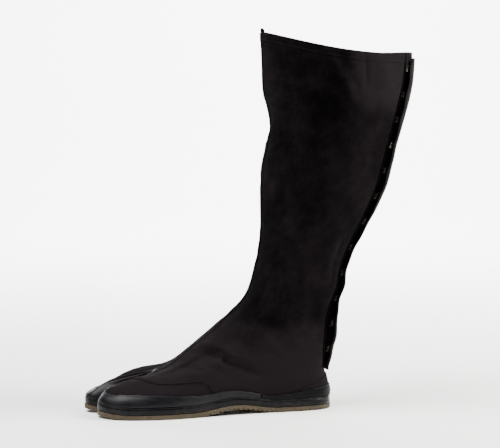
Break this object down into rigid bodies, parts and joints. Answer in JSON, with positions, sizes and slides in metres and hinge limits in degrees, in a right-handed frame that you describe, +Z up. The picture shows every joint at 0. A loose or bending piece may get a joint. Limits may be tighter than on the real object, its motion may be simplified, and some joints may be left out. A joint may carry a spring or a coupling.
{
  "type": "jika tabi",
  "caption": "Left knee-high split-toe work boot of black canvas on a flat ribbed gum sole, with rubber foxing and a back flap closed by metal hook plates.",
  "frame": {"origin": "on the floor under the middle of the heel, on the flat face of a rib of the outsole", "axes": "+Z up the shaft, -Y towards the toes, +X towards the outer side of the left foot"},
  "size_m": [0.1164, 0.3664, 0.409],
  "materials": {
    "canvas": "matt black cotton canvas",
    "lining": "plain cotton lining",
    "gum": "brown gum rubber",
    "black_rubber": "half-gloss black rubber",
    "clasp": "bright plated metal"
  },
  "bodies": {
    "root": {"upper": "canvas", "back_flap": "canvas", "heel_counter": "canvas", "insole": "lining", "outsole": "gum", "foxing": "black_rubber", "toe_guard": "black_rubber", "heel_guard": "black_rubber", "clasp_01": "clasp", "clasp_02": "clasp", "clasp_03": "clasp", "clasp_04": "clasp", "clasp_05": "clasp", "clasp_06": "clasp", "clasp_07": "clasp", "clasp_08": "clasp", "clasp_09": "clasp", "clasp_10": "clasp", "clasp_11": "clasp", "clasp_12": "clasp"}
  },
  "joints": []
}
